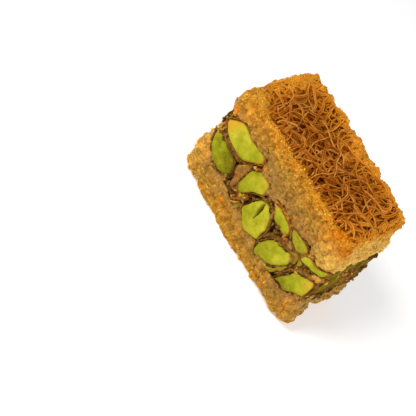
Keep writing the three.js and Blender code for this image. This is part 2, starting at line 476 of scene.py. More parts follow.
kernels = {  # along the face, height, length and depth, without an outline also thickness and lean,
    # then what its look changes
    "front": [
        ((-14.9, 18.4, 15.0, 6.6), {
            "outline": [
                (-22.5, 18.1), (-21.7, 16.7), (-20.2, 15.7), (-18.1, 15.1), (-15.6, 14.9), (-13.2, 14.9),
                (-11.7, 15.4), (-10.4, 16.5), (-9.2, 17.8), (-7.9, 19), (-7.4, 19.9), (-7.7, 21.1),
                (-8.8, 21.6), (-10.6, 21.4), (-13.1, 21), (-15.4, 21.3), (-17.6, 21.6), (-19.2, 21.1),
                (-20.8, 19.9)],
            "tone": 0.38, "warm": 1.6, "warmWay": 160, "thick": 0.25, "loose": (-0.1, 0.0),
            "skinShade": 0.6}),
        ((-16.9, 10.9, 10.6, 6.2), {
            "outline": [
                (-22.8, 13.0), (-21.5, 14.1), (-19.1, 14.3), (-16.6, 13.9), (-14.6, 13.6), (-13.5, 13.1),
                (-12.7, 11.9), (-12.1, 10.6), (-12.3, 9.4), (-13.4, 8.3), (-14.8, 7.6), (-16.4, 7.4),
                (-18.2, 7.9), (-20, 8.9), (-21.4, 10.1), (-22.3, 11.6)],
            "tone": 0.85, "warm": 0.0, "warmWay": 180, "thick": 0.3, "loose": (0.0, 0.1), "skinWay": 90,
            "skinShade": 0.3}),
        ((-5.2, 14.5, 10.8, 6.4), {
            "outline": [
                (-8.8, 12.6), (-8.8, 14.6), (-8.5, 16.2), (-7.6, 17.5), (-6.2, 18.6), (-4.6, 19.1),
                (-3, 19), (-1.9, 18.2), (-1.5, 16.8), (-1.8, 15.5), (-2.8, 14.4), (-4.3, 13.2),
                (-5.1, 11.9), (-5.9, 10.6), (-6.8, 9.8), (-7.8, 9.8), (-8.5, 10.7)],
            "tone": 0.6, "warm": 0.6, "warmWay": 60, "thick": 0.12, "loose": (0.1, 0.1), "skinShade": 0.8}),
        ((1.4, 10.3, 11.2, 7.4), {
            "outline": [
                (-3.7, 9), (-3.1, 10.6), (-2.3, 12.8), (-1.1, 14.6), (0.6, 15.6), (2.3, 15.4),
                (3.5, 14.3), (4.6, 12.6), (5.3, 11), (5.2, 9.1), (5.3, 7.3), (4.7, 6.6), (3.2, 6.1),
                (1.6, 5.3), (0.4, 5), (-1, 5.7), (-2.8, 7.1), (-3.6, 8.1)],
            "tone": 0.38, "warmWay": 20, "cleft": ((0.2, 15.0), (0.9, 9.8)), "thick": 0.2,
            "loose": (0.1, 0.0), "skinWay": -20, "skinShade": 0.35}),
        ((11.1, 9.3, 12.8, 7.0), {
            "outline": [
                (5.9, 5.6), (6, 7.2), (6.5, 8.8), (7.4, 10.5), (8.3, 11.6), (9.6, 12.5), (11, 12.9),
                (12.4, 13.1), (13.8, 13.9), (14.9, 13.3), (15.5, 12), (15.2, 10.7), (14.2, 9.2),
                (13.1, 7.7), (11.9, 6.5), (10.4, 5.7), (8.8, 5.1), (7.4, 4.4), (6.4, 4.6)],
            "tone": 0.45, "warmWay": 20, "thick": 0.7, "loose": (0.1, 0.3), "skinWay": 75,
            "skinShade": 0.4}),
        ((6.8, 16.5, 8.0, 4.6), {
            "outline": [
                (2.3, 17.5), (3, 16.6), (3.8, 15.8), (4.7, 15), (6.4, 14.8), (8.2, 14.9), (9.4, 15.2),
                (9.9, 15.9), (9.8, 16.7), (8.8, 17.3), (7.4, 17.8), (5.8, 18.2), (4.6, 18.3), (3.2, 18)],
            "tone": 0.55, "warm": 1.2, "warmWay": 100, "thick": 0.4, "loose": (0, 0.1), "skinWay": 80,
            "skinShade": 0.8}),
        ((13.8, 17.4, 7.4, 4.4), {
            "outline": [
                (9.9, 18), (10.7, 17), (11.7, 16.3), (13, 15.9), (14.6, 15.8), (15.7, 16.5), (16.4, 17.3),
                (16.7, 18.2), (16, 18.8), (14.8, 19), (13.2, 18.9), (11.6, 18.7), (10.4, 18.5)],
            "tone": 0.6, "warm": 1.5, "dull": 0.3, "thick": 0.4, "loose": (0, -0.1),
            "skinWay": 230, "skinShade": 0.4}),
        ((19.6, 10.5, 11.4, 5.2), {
            "outline": [
                (15.4, 6.1), (16.6, 6.6), (17.8, 6.6), (19, 6.5), (20, 7.4), (21.2, 8.6), (22.6, 9.7),
                (23.7, 10.8), (23.9, 12.8), (23.8, 14.6), (23.2, 15.5), (22.2, 15.2), (20.4, 14),
                (18.8, 12.9), (17.7, 11.9), (17.4, 10.6), (16.6, 9.2), (15.7, 7.8)],
            "tone": 0.6, "warm": 0.6, "warmWay": 45, "thick": 0.4, "loose": (-0.1, 0.2), "skinWay": 120,
            "skinShade": 0.3}),
        ((20.2, 17.4, 8.4, 4.2), {
            "outline": [
                (16.5, 15.6), (16.7, 16.8), (17.4, 17.7), (18.8, 18), (20.4, 18.1), (21.8, 18.6),
                (23, 19.4), (23.9, 20.1), (24, 19.2), (23.4, 18.1), (22.2, 17.4), (20.8, 16.8),
                (19.2, 16.4), (17.8, 15.8)],
            "tone": 0.5, "warm": 0.6, "warmWay": 120, "thick": 0.25, "loose": (0, -0.2), "skinShade": 0.5}),
        ((-10.2, 12.6, 9.0, 5.0), {
            "outline": [
                (-11.9, 13.8), (-11.3, 15), (-10.3, 16.4), (-9.5, 17.2), (-8.9, 16.6), (-8.8, 14.6),
                (-8.9, 12.1), (-8.8, 10.1), (-9.1, 8.9), (-9.9, 8.5), (-10.5, 9.3), (-10.4, 10.5),
                (-11.1, 11.8), (-11.7, 12.9)],
            "skinned": True, "shade": 0.55, "thick": 0.15, "skinShade": 0.3}),
    ],
    "right": [
        # their darker tone and browner tint are partly their olive cut faces, partly painted shade of this
        # end, which lies in shade
        ((-3.6, 17.6, 13.4, 4.6, 3.0, 6), {"flatness": 9, "tone": 1.1, "warm": 0.3, "dull": 0.3}),
        ((-3.0, 11.9, 9.4, 5.4, 4.4, 18), {"flatness": 9, "tone": 1.0, "warm": 0.6, "dull": 0.3}),
        ((7.2, 16.6, 6.4, 4.6, 3.4, -8), {"flatness": 9, "tone": 1.1, "warm": 0.6, "dull": 0.4}),
        ((6.4, 11.4, 7.6, 5.0, 5.6, 50), {"skinned": True, "shade": 0.5}),
    ],
    "back": [
        ((-18.6, 15.6, 9.6, 5.6, 6.8, 55), {"tone": 0.3, "loose": (0.4, 0.3)}),
        ((-12.0, 10.0, 13.6, 6.4, 7.2, 12), {
            "tone": 0.5, "warm": 0.3, "loose": (0.3, -0.4), "skinShade": 0.7}),
        ((-10.2, 17.2, 11.0, 5.0, 5.2, -9), {"tone": 0.2, "point": 0.4}),
        ((-2.2, 13.2, 12.4, 6.4, 7.2, 80), {
            "tone": 0.35, "cleft": ((-2.4, 17.8), (-1.9, 13.0)), "thick": 0.7, "loose": (0.2, 0.4)}),
        ((4.4, 9.4, 9.6, 5.6, 6.4, -20), {"tone": 0.7, "blunt": 0.3}),
        ((6.0, 16.6, 13.6, 6.0, 6.2, 10), {"tone": 0.25, "warm": 0.5, "square": 2.6, "point": 0.35}),
        ((13.0, 11.0, 11.8, 6.2, 6.8, -52), {"tone": 0.45, "thick": 0.8, "loose": (0.3, 0.4)}),
        ((19.0, 15.4, 10.2, 5.4, 6.2, -66), {"tone": 0.6, "skinShade": 0.7}),
        ((19.2, 9.4, 8.6, 4.8, 4.8, 8), {"skinned": True, "shade": 0.55}),
    ],
    "left": [
        ((-6.4, 12.3, 10.8, 5.0, 6.0, 74), {"tone": 0.5, "thick": 0.6, "loose": (0.3, 0.3)}),
        ((0.6, 16.8, 11.2, 5.2, 5.4, -6), {"tone": 0.3, "warm": 0.4, "point": 0.4}),
        ((0.4, 10.5, 10.0, 5.2, 6.0, 18), {"tone": 0.6, "loose": (-0.3, 0.4)}),
        ((7.4, 13.8, 10.4, 4.8, 5.4, -62), {"tone": 0.4}),
    ],
}
kernelLook = {  # what a kernel has unless its own row says otherwise
    "around": 90, "faceRings": 15, "edgeRings": 8, "backRings": 4,
    "face": 0.86,  # the share of its reach that the face's rings take
    "edgeDepth": 0.42, "backDepth": 0.5,  # shares of its depth
    "proud": 0.15, "flatness": 6.0, "wiggle": 0.08,  # how far it stands out, how flat and how uneven it is
    "outline": None, "point": 0.2, "blunt": 0.1, "bend": 0.02, "square": 2.3, "cleft": None,
    "tone": 0.4, "warm": 0.2, "warmWay": 90, "dull": 0.0, "skinned": False, "shade": 0.4,
    "thick": 0.35, "loose": (0.0, 0.0), "skinWay": 90, "skinShade": 0.4,
    "relief": [(0.26, 3.0), (0.14, 1.1), (0.05, 0.4)],  # depth and size of its bumps
    "cleftDeep": 2.4, "cleftHalf": 0.36,
}
for face, rows in kernels.items():
    kernels[face] = [(row, {**kernelLook, **change}) for row, change in rows]


def signedPower(value, exponent):
    return np.sign(value) * np.abs(value) ** exponent


def kernelOutline(row, look, count):
    if look["outline"]:
        at = np.array(look["outline"])[:, None] - np.array(row[:2])
        before, after, last = (np.roll(at, k, 0) for k in (1, -1, -2))
        t = np.linspace(0, 1, 16, endpoint=False)[None, :, None]
        path = at + t * (after - before) / 2
        path = path + t ** 2 * (before - 2.5 * at + 2 * after - 0.5 * last)
        path = path + t ** 3 * (-0.5 * before + 1.5 * at - 1.5 * after + 0.5 * last)
        path = path.reshape(-1, 2)
    else:
        theta = np.linspace(0, 2 * np.pi, 256, endpoint=False)
        phase = row[0] + row[1]
        uneven = 1 + 0.04 * np.sin(2 * theta + phase) + 0.04 * np.sin(3 * theta + 2.3 * phase)
        px = uneven * signedPower(np.cos(theta), 2 / look["square"])
        pz = uneven * signedPower(np.sin(theta), 2 / look["square"])
        thick, lean = row[4:]
        taper = 1 - look["point"] * np.clip(px, 0, 1) ** 2 - look["blunt"] * np.clip(-px, 0, 1) ** 2
        x, z = px * row[2] / 2, pz * taper * thick / 2 + look["bend"] * row[2] * (1 - px * px)
        cosine, sine = bearing(lean)
        path = np.stack([x * cosine - z * sine, x * sine + z * cosine], 1)
    path = np.concatenate([path, path[:1]])
    length = np.r_[0, np.cumsum(np.linalg.norm(np.diff(path, axis=0), axis=1))]
    even = np.linspace(0, length[-1], count, endpoint=False)
    path = np.stack([np.interp(even, length, path[:, k]) for k in (0, 1)], 1)
    wiggle = kernelLook["wiggle"] * flatLumps(path, row[0], 1.3, 2, 3)
    return path + unitRows(path - path.mean(0)) * wiggle[:, None]


# the pastry layers

def pastryValues(points, paintedShade=0, shade=0.5):
    every = np.zeros(len(points))
    return {"paintedShade": every + paintedShade, "shade": every + shade, **bandShares(points)}


frontEdges = {  # how far the pastry comes in the front where no kernel is, as (along, height)
    "base": [(-25.1, 14.4), (-23.2, 13.2), (-20.8, 9.6), (-14.0, 7.5), (-7.4, 6.7), (-4.6, 7.6), (5.4, 6.8),
             (14.4, 5.6), (18.4, 6.4), (21.4, 9.0), (25.9, 10.4)],
    "top": [(-25.1, 19.8), (-20.6, 20.0), (-7.2, 20.0), (-1.4, 17.3), (1.0, 17.3), (5.4, 18.8), (9.8, 17.8),
            (17.4, 17.4), (25.9, 20.2)],
}
kernelMargin = {"base": 0.3, "top": 0.15}


def frontEdge(name, x, y, behind):
    grid = np.arange(-26.0, 26.1, 0.25)
    edge = np.interp(grid, *np.array(frontEdges[name]).T)
    way = 1 if name == "top" else -1
    for row, look in kernels["front"]:
        outline = kernelOutline(row, look, 300) + row[:2]
        for k, along in enumerate(grid):
            near = way * outline[np.abs(outline[:, 0] - along) < 0.2, 1]
            if len(near):
                edge[k] = way * max(way * edge[k], near.max() + way * kernelMargin[name])
    share = smooth(-5.0, -9.0, y)
    return behind + share * (np.interp(x + block["frontShift"], grid, edge) - behind)


def layerPoints(unit, foot, head, inset):
    px, py, h = unit.T
    corner = block["cornerPower"]
    edge = np.maximum(np.abs(px), np.abs(py))
    power = np.abs(px) ** corner + np.abs(py) ** corner
    rounding = np.where(power > 0, edge / np.maximum(power, 1e-9) ** (1 / corner), 1)
    ends, sides = inset(h, px, py)
    depth, *pace = block["wave"]
    wave = depth * np.sin(unit @ pace)
    y = py * rounding * (block["width"] / 2 - sides) + py ** 5 * wave * (1 - h * 0.3)
    x = px * rounding * (block["length"] / 2 - ends) + px ** 5 * wave + y * block["tan"]
    low, high = foot(x, y, edge), head(x, y, edge)
    return np.stack([x, y, low + (high - low) * h], -1)


grainMost = 0.6  # grains are flat on top from here


def roughened(points, quads, settings):
    normals = pointNormals(points, quads)
    grain = grains(points, settings["grainSize"], 1)
    fine = grains(points, settings["fineSize"], 2)
    smoother = settings["rimSmooth"] * smooth(27.0, 29.0, points[:, 2]) * smooth(-9.5, -7.5, points[:, 1])
    atLeft = smooth(-20.5, -23.0, alongBlock(*points.T[:2]))
    relief = (
        settings["knob"] * lumps(points, settings["knobSize"], 6) * atLeft
        + settings["broad"] * lumps(points, settings["broadSize"], 3)
        + settings["lump"] * lumps(points, settings["lumpSize"], 4)
        + settings["grain"] * (np.minimum(grain, grainMost) - 0.35) * (1 - smoother)
        + settings["fine"] * (np.minimum(fine, grainMost) - 0.3)
    )
    # painted shade: the share of darkening in the crevices between the grains
    paintedShade = np.clip(1 - grain / 0.2, 0, 1) * 0.6 + np.clip(1 - fine / 0.16, 0, 1) * 0.2
    return points + normals * relief[:, None], normals, paintedShade


grainLook = {  # relief of the cut pastry, in mm
    "broad": 0.55, "broadSize": 6.0,
    "lump": 0.85, "lumpSize": 1.7,
    "grain": 0.45, "grainSize": 1.15,
    "fine": 0.1, "fineSize": 0.55,
    "rimSmooth": 0.6,  # how much less grain the rim of the top has
    "knob": 0.5, "knobSize": 2.4,  # of the left-hand end
}
baseLook = {
    "steps": (168, 88, 26),
    "leftBulge": 0.5, "rightBulge": 1.5, "sideBulge": 0.4, "footRadius": 0.9,
    "rightFootRadius": (3.0, 5.4),  # at its front corner and behind it
    "broken": 2.0,  # how much of its right-hand end is gone behind the front corner
    "rise": 0.3,  # how far it comes up between the kernels
    "recess": 0.3,  # how far its upper edge stays behind the crumb
    "underSide": 0.25,  # no relief of its underside comes higher
}


def baseInset(h, px, py):
    swell = np.sin(np.pi * (0.25 + 0.55 * h))
    height = h * block["baseTop"]
    front, rear = baseLook["rightFootRadius"]
    leftEnd = roundedEdge(baseLook["footRadius"], height)
    behind = smooth(-0.75, -0.4, py)
    rightEnd = roundedEdge(front + (rear - front) * behind, height) + baseLook["broken"] * behind * (1 - h)
    right, left = rightEnd - baseLook["rightBulge"] * swell, leftEnd - baseLook["leftBulge"] * swell
    ends = np.where(px > 0, right, left)
    sides = leftEnd - np.where(py > 0, 0, baseLook["sideBulge"]) * swell
    sides = sides + smooth(0.5, 1.0, px) * (roundedEdge(front, height) - leftEnd)
    recess = baseLook["recess"] * smooth(0.75, 1.0, h)
    return ends + recess, sides + recess


def baseHead(x, y, edge):
    return frontEdge("base", x, y, baseTop(x, y) + baseLook["rise"])


unit, quads = boxSkin(baseLook["steps"])
points = layerPoints(unit, lambda x, y, edge: 0 * x, baseHead, baseInset)
basePoints, baseNormals, paintedShade = roughened(points, quads, grainLook)
highest = np.where(points[:, 2] < 0.05, baseLook["underSide"], np.inf)
basePoints[:, 2] = np.clip(basePoints[:, 2], lowest, highest)
baseSurface = basePoints, quads, baseNormals
newPiece("basePastry", basePoints, [quads], pastry, ["base_layer"],
         pastryValues(points, paintedShade))

topLook = {
    "steps": (176, 92, 42),
    "leftTaper": (4.0, 2.4),  # at the front and at the back of the left-hand end
    "leftReach": (1.0, 0.6), "backReach": (0.6, 1.1, -0.2),
    "rightTaper": 1.4, "edgeRadius": 0.9,
    "drop": 0.2,  # how far it comes down between the kernels
    "endLift": 0.7,  # how far its foot is worn away at the right-hand end
    "rimDrop": 0.5,  # how far the rim lies under the highest threads
    "brim": 0.3,  # how far it falls off toward the sides
    "hollowDepth": 1.9,  # how far the mat's bed lies under the rim
    "frontSunk": 0.75,  # the share of that by which the rim lies lower in front
    "cornerRise": 0.3,  # how far the left back corner stands up
    "tuft": (-0.7, 0.2, 0.4),  # how far its tip is drawn out
}


def topInset(h, px, py):
    height = (1 - h) * (block["top"] - block["fillingTop"])
    drawn = roundedEdge(topLook["edgeRadius"], height) + 0.3 * smooth(0.14, 0.0, h)
    (front, rear), (reach, rearReach) = topLook["leftTaper"], topLook["leftReach"]
    behind = smooth(-1.0, 0.4, py)
    left = (front + (rear - front) * behind) * h ** 3 - reach - (rearReach - reach) * behind
    ends = drawn + np.where(px > 0, topLook["rightTaper"] * h * h, left)
    left, middle, right = topLook["backReach"]
    back = left + (middle - left) * smooth(-1.0, -0.7, px) + (right - middle) * smooth(0.5, 1.0, px)
    return ends, drawn - np.where(py > 0, back, 0)


def insideMat(x, y):
    along = alongBlock(x, y)
    u, v = (along - mat["middle"][0]) / mat["half"][0], (y - mat["middle"][1]) / mat["half"][1]
    bayAlong, bayAcross, length, width, share = mat["bay"]
    bay = share * np.exp(-((along - bayAlong) / length) ** 2 - ((y - bayAcross) / width) ** 2)
    return np.abs(u) ** mat["power"] + np.abs(v) ** mat["power"] + bay


mat = {
    "middle": (1.6, -0.4), "half": (21.4, 11.6), "power": 9,
    "bay": (1.5, 11.5, 5.0, 4.0, 1.6),  # where the golden rim comes in from the back
}


def topHead(x, y, edge):
    rim = block["top"] - topLook["rimDrop"] - topLook["brim"] * edge ** 6
    along = alongBlock(x, y)
    corner = smooth(-18.5, -22.0, along) * smooth(8.0, 11.5, y)
    rim = rim + topLook["cornerRise"] * corner
    fromMiddle = np.abs(along - mat["middle"][0]) / mat["half"][0]
    front = smooth(-8.5, -12.0, y) * smooth(1.3, 0.7, fromMiddle)
    sunk = np.maximum(1 - smooth(0.3, 1.2, insideMat(x, y)), topLook["frontSunk"] * front)
    return rim - topLook["hollowDepth"] * sunk


def topFoot(x, y, edge):
    worn = topLook["endLift"] * smooth(21.5, 23.5, alongBlock(x, y))
    return frontEdge("top", x, y, fillingTop(x, y) - topLook["drop"] + worn)


unit, quads = boxSkin(topLook["steps"])
points = layerPoints(unit, topFoot, topHead, topInset)
tuft = smooth(0.86, 1.0, -unit[:, 0]) * smooth(0.8, 1.0, unit[:, 1]) * smooth(0.7, 1.0, unit[:, 2])
points += tuft[:, None] * np.array(topLook["tuft"])
topPoints, topNormals, paintedShade = roughened(points, quads, grainLook)
# painted shade: darker in the mat's bed under the threads, less painted crevice shade on the rim
bed = 1 - smooth(0.3, 1.1, insideMat(*points.T[:2]))
paintedShade *= 1 - 0.6 * smooth(26.0, 28.0, points[:, 2])
paintedShade = np.maximum(paintedShade, 0.6 * bed * (points[:, 2] > block["top"] - 4))
topSurface = topPoints, quads, topNormals
newPiece("topPastry", topPoints, [quads], pastry, ["top_layer"],
         pastryValues(points, paintedShade))


# short shreds bedded in the pastry

def scatterPlaces(points, quads, normals, wanted, count, rng):
    corners = points[quads]
    facing = unitRows(normals[quads].mean(1))
    area = np.linalg.norm(np.cross(corners[:, 2] - corners[:, 0], corners[:, 3] - corners[:, 1]), axis=1)
    weight = area * wanted(corners.mean(1), facing)
    picked = rng.choice(len(quads), count, p=weight / weight.sum())
    s, t = np.moveaxis(rng.uniform(0, 1, (count, 2, 1)), 1, 0)
    a, b, c, d = np.moveaxis(corners[picked], 1, 0)
    place = a * (1 - s) * (1 - t) + b * s * (1 - t) + c * s * t + d * (1 - s) * t
    return place, facing[picked]


def shreds(place, facing, settings, rng):
    count = len(place)
    spin = rng.normal(size=(count, 3))
    spin[:, 2] *= settings["flat"]
    along = unitRows(spin - facing * (spin * facing).sum(1, keepdims=True))
    onRim = smooth(block["top"] - 3.0, block["top"] - 1.0, place[:, 2:])
    tilt = settings["tilt"] + (settings["rimTilt"] - settings["tilt"]) * onRim
    along = unitRows(along + facing * rng.normal(0, 1, (count, 1)) * tilt)
    side = unitRows(np.cross(facing, along))
    out = np.cross(along, side)
    length = rng.uniform(*settings["length"], count)
    radius = rng.uniform(*settings["radius"], count)
    bend = rng.normal(0, settings["bend"], count) * length
    lift = rng.uniform(*settings["lift"], count)
    t = np.linspace(-1, 1, settings["steps"])[None, :, None]
    path = (
        place[:, None] + along[:, None] * t * length[:, None, None] / 2
        + side[:, None] * (t * t - 0.33) * bend[:, None, None]
        + out[:, None] * (lift[:, None, None] - settings["droop"] * length[:, None, None] * t * t)
    )
    points, faces = tubes(path, side[:, None], out[:, None], radius, settings["sides"])
    shade = np.repeat(rng.uniform(0, 1, count), settings["steps"] * settings["sides"])
    return points, faces, shade


shredLook = {
    "baseCount": 4700, "topCount": 6600, "steps": 3, "sides": 4,
    "length": (0.4, 2.1), "radius": (0.06, 0.15),
    "bend": 0.14, "droop": 0.12, "lift": (-0.05, 0.07), "tilt": 0.14, "rimTilt": 0.2, "flat": 0.6,
}


def sideWalls(middle, facing):
    low = middle[:, 2] < block["baseTop"] - 0.4
    lip = (alongBlock(*middle.T[:2]) < -20.6) & (middle[:, 1] < -7)
    return (facing[:, 2] > -0.75) * (low | lip)


def topWalls(middle, facing):
    walls = (facing[:, 2] > -0.5) & (middle[:, 2] > fillingTop(*middle.T[:2]) + 0.3)
    outside = smooth(0.5, 1.0, insideMat(*middle.T[:2]))
    rim = 1 - smooth(0.5, 1.0, facing[:, 2]) * (1 - outside)
    smoother = smooth(26.0, 28.0, middle[:, 2]) * smooth(-9.5, -7.5, middle[:, 1])
    return walls * rim * (1 - 0.7 * smoother)


rng = np.random.default_rng(11)
for name, slot, count, surface, wanted in (
    ("baseShreds", "soaked_pastry", shredLook["baseCount"], baseSurface, sideWalls),
    ("topShreds", "toasted_pastry", shredLook["topCount"], topSurface, topWalls),
):
    place, facing = scatterPlaces(*surface, wanted, count, rng)
    points, faces, shade = shreds(place, facing, shredLook, rng)
    points[:, 2] = np.maximum(points[:, 2], lowest)
    newPiece(name, points, faces, pastry, (), pastryValues(points, 0, shade))
print("pastry layers made")


# the toasted mat of long threads

matLook = {  # a layer's level is its height, and over is how far out of the mat it goes
    # shade sets a layer's place on the thread ramp: darker for deeper layers as painted shade, lighter for
    # the upper layer as painted highlight, besides the threads' own toasting and random tone
    "deep": {"count": 190, "level": 28.5, "length": (5, 11), "shade": (0.0, 0.4), "over": 0.6},
    "middle": {"count": 190, "level": 29.4, "length": (5, 13), "shade": (0.2, 0.7), "over": 1.0},
    "upper": {"count": 150, "level": 30.3, "length": (7, 18), "shade": (0.4, 1.05), "over": 1.35},
    "rim": {"count": 220, "level": 30.3, "length": (1.5, 5), "shade": (0.3, 1.0), "over": 1.0},
    "steps": 18, "sides": 6, "radius": (0.13, 0.24), "fine": 60, "onRim": 0.1,
    "relief": 0.7, "reliefSize": 5.0,
    "rimHalf": (22.5, 12.2), "rimWidth": 3.0,
    "rimParts": (0.22, 0.76, 0.9),  # shares up to which rim threads lie left, behind and in front
    "oneWay": (0.45, 1.75, 0.4),  # the share that lies about one way, that way and its spread in radians
    "straight": (0.5, 0.025),  # the share that is nearly straight, and the spread of its bend per mm
    "arcs": (0.9, (0.06, 0.16)),  # the share up to which the others are arcs, and their bend
    "curls": (0.2, 0.36),  # the bend of the rest
    "swing": (0.16, 0.8),  # how far a thread swings to both sides, in radians, and how fast
    "heave": 0.25,  # how far it goes up and down
    "endDrop": 0.9, "rimEndDrop": 0.4,  # how far a thread's ends dip, and the share of that on the rim
    "shortest": 12,  # threads cut to this many fine steps or fewer are left out
    "paired": 0.25, "apart": 0.44,  # the share that lies in pairs, and how far apart
}


def insideRim(x, y):
    u = alongBlock(x, y) / matLook["rimHalf"][0]
    return np.abs(u) ** mat["power"] + np.abs(y / matLook["rimHalf"][1]) ** mat["power"]


def threadMiddles(count, onRim, rng):
    if onRim:
        half, back = matLook["rimHalf"], matLook["rimWidth"]
        way, across = rng.uniform(0, 1, count), rng.uniform(-1, 1, count)
        reach = back * rng.uniform(0, 1, count) ** 1.3
        left, behind, front = matLook["rimParts"]
        leftSide, rightSide, frontSide = way < left, way > front, (way > behind) & (way < front)
        y = np.where(leftSide | rightSide, across * half[1], half[1] - reach)
        x = np.where(leftSide, reach - half[0], across * half[0])
        x = np.where(rightSide, half[0] - 0.5 * reach, x)
        y = np.where(frontSide, 0.6 * reach - half[1], y)
    else:
        y = mat["middle"][1] + rng.uniform(-1, 1, count) * mat["half"][1]
        x = mat["middle"][0] + rng.uniform(-1, 1, count) * mat["half"][0]
    return x + y * block["tan"], y


def growThreads(settings, rng, onRim):
    count, steps, fine = settings["count"], matLook["steps"], matLook["fine"]
    length = rng.uniform(*settings["length"], count)
    x, y = threadMiddles(count, onRim, rng)
    share, way, spread = matLook["oneWay"]
    oneWay = rng.uniform(0, 1, count) < share
    heading = np.where(oneWay, rng.normal(way, spread, count), rng.uniform(0, np.pi, count))
    (straight, bend), (arcs, arcBend) = matLook["straight"], matLook["arcs"]
    kind = rng.uniform(0, 1, count)
    arc = np.where(kind < arcs, rng.uniform(*arcBend, count), rng.uniform(*matLook["curls"], count))
    curve = np.where(kind < straight, rng.normal(0, bend, count), rng.choice([-1, 1], count) * arc)
    phase, cycles = rng.uniform(0, 2 * np.pi, count), rng.uniform(0.5, 1.3, count)
    s = np.linspace(-0.5, 0.5, fine + 1)[None] * length[:, None]
    swing, pace = matLook["swing"]
    swing = rng.normal(0, swing, (count, 1)) * np.sin(phase[:, None] + pace * s)
    turn = heading[:, None] + curve[:, None] * s + swing
    step, half = length[:, None] / fine, fine // 2
    overX, overY = np.cumsum(np.cos(turn), 1) * step, np.cumsum(np.sin(turn), 1) * step
    x = x[:, None] + overX - overX[:, [half]]
    y = y[:, None] + overY - overY[:, [half]]
    outside = (insideRim(x, y) > 1) | ((insideMat(x, y) > settings["over"]) & (not onRim))
    ahead, behind = outside[:, half:], outside[:, half::-1]
    high = half + np.where(ahead.any(1), ahead.argmax(1), fine - half)
    low = half - np.where(behind.any(1), behind.argmax(1), half)
    t = np.linspace(0, 1, steps)[None]
    at = low[:, None] + (high - low)[:, None] * t
    whole = np.minimum(at.astype(int), fine - 1)
    part = at - whole
    rows = np.arange(count)[:, None]
    x = x[rows, whole] * (1 - part) + x[rows, whole + 1] * part
    y = y[rows, whole] * (1 - part) + y[rows, whole + 1] * part
    surface = topHead(x, y, 0.9) + matLook["onRim"]
    flat = np.stack([x, y, 0 * x], -1).reshape(-1, 3)
    relief = lumps(flat, matLook["reliefSize"], 8).reshape(count, steps)
    z = settings["level"] + rng.normal(0, 0.2, (count, 1)) + matLook["relief"] * relief
    z = z + matLook["heave"] * np.sin(phase[:, None] + 2 * np.pi * cycles[:, None] * t)
    onTop = smooth(0.5, 1.0, insideMat(x, y)) if settings["over"] > 0.9 else 0
    z = z + onTop * (surface - z) if onRim else np.where(z < surface, z + onTop * (surface - z), z)
    z = z - matLook["endDrop"] * np.abs(2 * t - 1) ** 6 * (matLook["rimEndDrop"] if onRim else 1)
    return np.stack([x, y, z], -1)[high - low > matLook["shortest"]]


def pathFrames(path):
    ahead = unitRows(np.gradient(path, axis=1))
    side = unitRows(np.cross(up, ahead))
    return side, np.cross(ahead, side)


for layerName in ("deep", "middle", "upper", "rim"):
    settings = matLook[layerName]
    path = growThreads(settings, rng, layerName == "rim")
    side, out = pathFrames(path)
    paired = rng.uniform(0, 1, len(path)) < matLook["paired"]
    path = np.concatenate([path, path[paired] + matLook["apart"] * side[paired]])
    side, out = np.concatenate([side, side[paired]]), np.concatenate([out, out[paired]])
    path[:, :, 2] = np.minimum(path[:, :, 2], block["top"] - matLook["radius"][1] - 0.01)
    radius = rng.uniform(*matLook["radius"], len(path))
    points, faces = tubes(path, side, out, radius, matLook["sides"])
    shade = np.repeat(rng.uniform(*settings["shade"], len(path)), matLook["steps"] * matLook["sides"])
    rimShare = smooth(0.1, 0.9, insideMat(*points.T[:2])) * smooth(-12.5, -6.5, points[:, 1])
    u = alongBlock(*points.T[:2])
    ends = np.maximum(0.45 * smooth(13.0, 20.0, u), 0.3 * smooth(-12.0, -19.0, u))
    gold = 0.85 * np.maximum(np.maximum(rimShare, ends), 0.6 * smooth(1.0, 9.0, points[:, 1]))
    newPiece(layerName + "Threads", points, faces, thread, (),
             {"shade": shade, "gold": gold})
print("thread mat made")


# pistachio kernels

def kernelForm(row, look):
    outline = kernelOutline(row, look, look["around"])
    middle = outline.mean(0)
    flat, face, edgeDepth = look["flatness"], look["face"], look["edgeDepth"] * row[3]
    reach = np.linspace(0, face, look["faceRings"], endpoint=False)
    phi = np.linspace(math.asin(face ** (flat / 2)), np.pi / 2, look["edgeRings"], endpoint=False)
    behind = np.linspace(0, np.pi / 2, look["backRings"])
    reach = np.concatenate([reach, np.sin(phi) ** (2 / flat), np.cos(behind)])
    y = edgeDepth * (1 - (1 - np.minimum(reach, 1) ** flat) ** (1 / flat))
    y[-len(behind):] = edgeDepth + look["backDepth"] * row[3] * np.sin(behind)
    flatPoints = middle + reach[:, None, None] * (outline - middle)[None]
    depthPart = np.repeat(y[:, None], look["around"], 1)
    points = np.stack([flatPoints[..., 0], depthPart, flatPoints[..., 1]], -1).reshape(-1, 3)
    return points, np.repeat(reach, look["around"]), middle


def kernelPlace(points, face, row):
    middle, way = cutFaces[face]
    inward = np.cross(up, way)
    return (
        middle + way * (row[0] + points[:, :1]) + up * (row[1] + points[:, 2:])
        + inward * (points[:, 1:2] - kernelLook["proud"])
    )


def gridFaces(around, rings):
    i = np.arange(rings - 1)[:, None] * around
    j = np.arange(around)[None, :]
    k = (j + 1) % around
    return np.stack([i + j, i + around + j, i + around + k, i + k], -1).reshape(-1, 4)


def cleftCut(points, row, look):
    start, end = np.array(look["cleft"]) - np.array(row[:2])
    way = end - start
    off = points[:, [0, 2]] - start
    share = off @ way / (way @ way)
    apart = np.abs(off @ np.array([-way[1], way[0]])) / np.linalg.norm(way)
    half = look["cleftHalf"] * smooth(-0.05, 0.3, share) * (1 - 0.85 * smooth(0.4, 1.0, share)) + 0.02
    return np.exp(-(apart / half) ** 2) * (share > -0.02) * (share < 1) * (points[:, 1] < 1.5)


